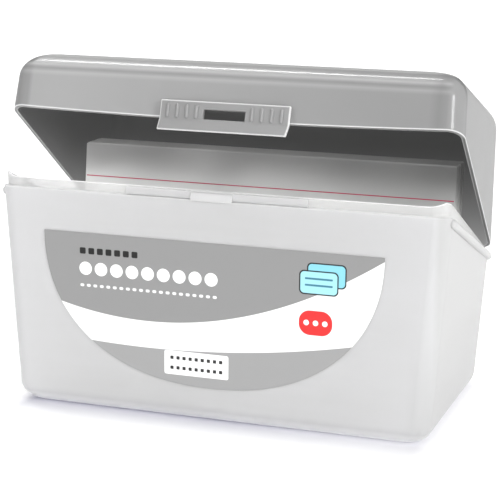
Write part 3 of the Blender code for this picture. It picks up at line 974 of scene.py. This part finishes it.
def label_print():
    """The design, drawn in millimetres from the label's middle and the box's underside."""
    finish = Finish("label_print", specular=0.4)
    x, _, z = finish.axes()
    x = (x - label_shift) / MM
    z = z / MM
    blur = 0.12
    curve_middle = -20.0

    def cover(distance):
        return distance.ramp(blur / 2, -blur)

    def box(centre_x, centre_z, width, height, radius, count=1, pitch=0.0):
        """One rounded box, or the same one again and again along a line."""
        across = x - centre_x
        if count > 1:
            last = (count - 1) / 2
            across = across - (across / pitch).math("ROUND").larger(-last).smaller(last) * pitch
        aside = (abs(across) - (width / 2 - radius)).larger(0.0)
        above = (abs(z - centre_z) - (height / 2 - radius)).larger(0.0)
        return cover((aside * aside + above * above) ** 0.5 - radius)

    sweep = (x - curve_middle) * (x - curve_middle)
    pale, white, dark = tone(150), tone(236), tone(137)
    paper, ink, mark_ink = tone(246), tone(18), tone(40)
    line_ink = tone(60, 120, 140)
    layers = [
        (cover(sweep * 0.0016 + 22.5 - z), white),
        (cover(sweep * 0.0045 + 31.0 - z), dark),
        (box(-20.0, 46.0, 4.2, 4.2, 2.1, count=9, pitch=5.2), paper),
        (box(-33.0, 51.6, 2.0, 2.0, 0.4, count=7, pitch=2.9), tone(24)),
        (box(-20.0, 40.6, 1.3, 0.9, 0.4, count=21, pitch=2.2), tone(228))]
    for centre_x, centre_z, tint in ((37.2, 50.4, tone(132, 200, 217)),
                                     (34.8, 48.0, tone(157, 213, 226))):
        layers += [(box(centre_x, centre_z, 12.2, 7.4, 1.5), ink),
                   (box(centre_x, centre_z, 11.4, 6.6, 1.2), tint)]
    layers += [(box(34.8, line_z, 8.6, 0.6, 0.2), line_ink) for line_z in (49.2, 47.2)]
    layers += [(box(34.0, 35.6, 10.4, 7.6, 3.4), tone(214, 46, 46)),
               (box(34.0, 35.6, 1.7, 1.7, 0.85, count=3, pitch=2.9), tone(250)),
               (box(-4.0, 18.6, 21.0, 7.6, 0.6), paper)]
    layers += [(box(-4.0, mark_z, 1.1, 1.1, 0.2, count=9, pitch=2.0), mark_ink)
               for mark_z in (20.2, 17.0)]
    fibre = finish.noise(scale=900.0, detail=3.0)
    colour = finish.layered(pale, *layers, ((fibre - 0.5).limited() * 0.10, tone(120)))
    return finish.feed(
        base_color=colour,
        roughness=0.44 + (fibre - 0.5) * 0.1,
        normal=finish.bump(fibre, 0.06, 0.03 * MM))


label = place_piece("label_sheet", label_mesh(), label_print(), "base")
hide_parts("front_label")

# Cards. White ruled index cards standing on the floor and leaning back a little. The
# front one is loose and can be tipped forward; the rest of the deck stands behind it.
card_thickness = 0.23 * MM
card_corner = 0.8 * MM
card_pitch = 0.53 * MM
card_side_shift = 0.35 * MM
print_inset = 0.4 * MM


def card_stock():
    finish = Finish("card_stock", specular=0.25, emission_strength=1.0)
    x, _, z = finish.axes()
    depth = (card_height - (z - card_foot_z) / cos(card_lean)) / MM
    header_depth, header_width = 11.14, 0.32
    rule_pitch, rule_width = 6.35, 0.2
    fibre = finish.noise(scale=700.0, detail=4.0)
    mottle = finish.noise(scale=30.0, detail=2.0)
    # Painted shade: the cards darken towards the right.
    shade_to_right = x.ramp(-5.0 * MM, 60.0 * MM)
    on_face = abs(x) < card_width / 2 - print_inset

    def line(distance, width, blur):
        return distance.ramp((width + blur) / 2, -blur) * on_face

    header = line(abs(depth - header_depth), header_width, 0.12)
    spacing = (depth - header_depth) / rule_pitch
    rule = line(abs(spacing - spacing.math("ROUND")) * rule_pitch, rule_width, 0.1)
    first_rule_depth, edge_depth = 14.0, 0.7
    below_header = depth > first_rule_depth
    # Painted light: the top edge of each card glows.
    glowing_top_edge = depth.ramp(edge_depth, -0.4)
    colour = finish.layered(
        finish.blend(mottle, tone(244, 243, 242), tone(248, 248, 247)),
        (shade_to_right, tone(198, 198, 197)),
        (header, tone(205, 62, 96)),
        (rule * below_header, tone(150, 190, 214)))
    return finish.feed(
        base_color=colour,
        emission_color=finish.blend(glowing_top_edge, tone(0), tone(62)),
        roughness=0.78 + (fibre - 0.5) * 0.2,
        normal=finish.bump(fibre, 0.10, 0.04 * MM))


def card_mesh():
    """A card with round corners, leaning back from the middle of its foot."""
    corners = ((card_width / 2, card_height), (-card_width / 2, card_height),
               (-card_width / 2, 0.0), (card_width / 2, 0.0))
    outline = []
    for corner, (x, z) in enumerate(corners):
        middle_x = x - card_corner if x > 0 else x + card_corner
        middle_z = z - card_corner if z > 0 else card_corner
        for turn in quarter_turn(4):
            turn += pi / 2 * corner
            outline.append((middle_x + card_corner * cos(turn),
                            middle_z + card_corner * sin(turn)))
    lean = Matrix.Rotation(-card_lean, 3, "X")
    return loft_mesh("card", [[lean @ Vector((x, y, z)) for x, z in outline]
                              for y in (0.0, card_thickness)])


def uneven_row(graph, count, pitch, side_shift, seed):
    """Points in a row towards the back, each shifted a little to one side."""
    step = graph.add("ShaderNodeCombineXYZ", None, {1: pitch})
    line = graph.add("GeometryNodeMeshLine", None, {"Count": count, "Offset": step})
    aside = graph.add("FunctionNodeRandomValue", None, {
        2: -1.0, 3: 1.0, "Seed": seed}, output=1)
    shift = graph.add("ShaderNodeCombineXYZ", None, {0: aside * side_shift})
    return graph.add("GeometryNodeSetPosition", None, {"Geometry": line, "Offset": shift})


def stand_at(mesh, foot_y):
    mesh.transform(Matrix.Translation((0.0, foot_y, card_foot_z)))
    return mesh


paper = card_stock()
front_card = place_piece("front_card", stand_at(card_mesh(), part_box("card_01")[0].y),
                         paper, "front_card")
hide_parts("card_01")
rear_cards = ["card_%02d" % number for number in range(2, 21)]
deck_mesh = grown("card_deck", card_mesh(), uneven_row, paper, count=len(rear_cards),
                  pitch=card_pitch, side_shift=card_side_shift, seed=4)
deck = place_piece("card_deck", stand_at(deck_mesh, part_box("card_02")[0].y),
                   None, "base")
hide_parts(*rear_cards)

# Studio. A white floor that runs out of the picture, soft suns that stay where they are and
# a dim sky. Some suns are hidden from reflections, and four narrow ones behind the box on
# the left draw the light line along the lid's upper edge.
floor_half = 40.0
shade_half_x = 63.0 * MM
shade_half_y = 32.0 * MM
shade_width = 16.0 * MM
shade_side_squeeze = 2.4
floor_mesh = bpy.data.meshes.new("studio_floor")
floor_corners = [(-floor_half, -floor_half, 0.0), (floor_half, -floor_half, 0.0),
                 (floor_half, floor_half, 0.0), (-floor_half, floor_half, 0.0)]
floor_mesh.from_pydata(floor_corners, [], [(0, 1, 2, 3)])
studio_floor = bpy.data.objects.new("studio_floor", floor_mesh)
bpy.context.scene.collection.objects.link(studio_floor)
floor_finish = Finish("studio_floor", roughness=0.9, specular=0.1, emission_strength=0.7)
floor_noise = floor_finish.noise(scale=3.0, detail=2.0)
floor_x, floor_y, _ = floor_finish.axes()
# A contact shadow painted on the floor round the box, darker and lilac in colour and glow,
# fainter to the right.
aside = (abs(floor_x) - shade_half_x).larger(0.0) * shade_side_squeeze
ahead = (abs(floor_y) - shade_half_y).larger(0.0)
shade = ((aside * aside + ahead * ahead) ** 0.5).ramp(shade_width, -shade_width)
shade = shade * (1.0 - floor_x.ramp(0.0, 70.0 * MM) * 0.4)
bare_floor = floor_finish.blend(floor_noise, tone(204), tone(207))
floor_mesh.materials.append(floor_finish.feed(
    base_color=floor_finish.blend(shade, bare_floor, tone(180, 180, 186)),
    emission_color=floor_finish.blend(shade, tone(214), tone(92, 90, 106))))

world = bpy.data.worlds.new("studio_sky")
world.use_nodes = True
bpy.context.scene.world = world
sky = world.node_tree.nodes["Background"]
sky_graph = Graph(world.node_tree)
aim = sky_graph.add("ShaderNodeTexCoord")
aim_x = sky_graph.add("ShaderNodeSeparateXYZ", None, {0: aim})
sky_colour = sky_graph.blend((aim_x * 0.7 + 0.5).limited(), tone(150), tone(235))
world.node_tree.links.new(sky_colour.socket, sky.inputs["Color"])
sky.inputs["Strength"].default_value = 0.25


def soft_light(name, azimuth, elevation, spread, strength, mirrored=True):
    """An even light from far away: azimuth 0 is straight in front, and 90 is on the right."""
    lamp = bpy.data.lights.new(name, "SUN")
    lamp.angle = radians(spread)
    lamp.energy = strength
    holder = bpy.data.objects.new(name, lamp)
    bpy.context.scene.collection.objects.link(holder)
    azimuth, elevation = radians(azimuth), radians(elevation)
    toward = Vector((sin(azimuth) * cos(elevation), -cos(azimuth) * cos(elevation),
                     sin(elevation)))
    holder.rotation_euler = toward.to_track_quat("Z", "Y").to_euler()
    holder.visible_glossy = mirrored


soft_light("overhead", 10.0, 78.0, 40.0, 0.2)
soft_light("front_box", 34.0, 29.0, 17.0, 0.84)
soft_light("low_box", 28.0, 21.0, 15.0, 0.35, mirrored=False)
soft_light("middle_box", 5.0, 35.0, 14.0, 0.37, mirrored=False)
soft_light("back_fill", 172.0, 38.0, 50.0, 1.0, mirrored=False)
soft_light("left_fill", -50.0, 20.0, 16.0, 1.25, mirrored=False)
soft_light("right_fill", 70.0, 25.0, 16.0, 2.05, mirrored=False)
top_strips = ((-115.0, 60.0, 0.3), (-118.0, 64.5, 0.26), (-124.0, 68.0, 0.22),
              (-133.0, 71.5, 0.15))
for index, (azimuth, elevation, strength) in enumerate(top_strips):
    soft_light("top_strip_%d" % (index + 1), azimuth, elevation, 6.0, strength)
soft_light("corner_strip", -8.0, 19.0, 2.5, 0.028)

picture_pixels = 500
focal_pixels = 1627.16
sensor_width = 36.0
camera_place = (0.1655, -0.48721, 0.15869)
yaw, pitch, roll = radians(18.8885), radians(12.1458), radians(0.7823)
forward = Vector((-sin(yaw) * cos(pitch), cos(yaw) * cos(pitch), -sin(pitch)))
right = Vector((cos(yaw), sin(yaw), 0.0))
up = right.cross(forward)
camera_x = right * cos(roll) + up * sin(roll)
camera_y = up * cos(roll) - right * sin(roll)
camera_data = bpy.data.cameras.new("camera")
camera_data.sensor_width = sensor_width
camera_data.lens = sensor_width * focal_pixels / picture_pixels
camera_data.clip_start = 0.01
camera = bpy.data.objects.new("camera", camera_data)
bpy.context.scene.collection.objects.link(camera)
turned = Matrix((camera_x, camera_y, -forward)).transposed().to_4x4()
camera.matrix_world = Matrix.Translation(camera_place) @ turned
bpy.context.scene.camera = camera
bpy.context.scene.view_settings.view_transform = "Standard"
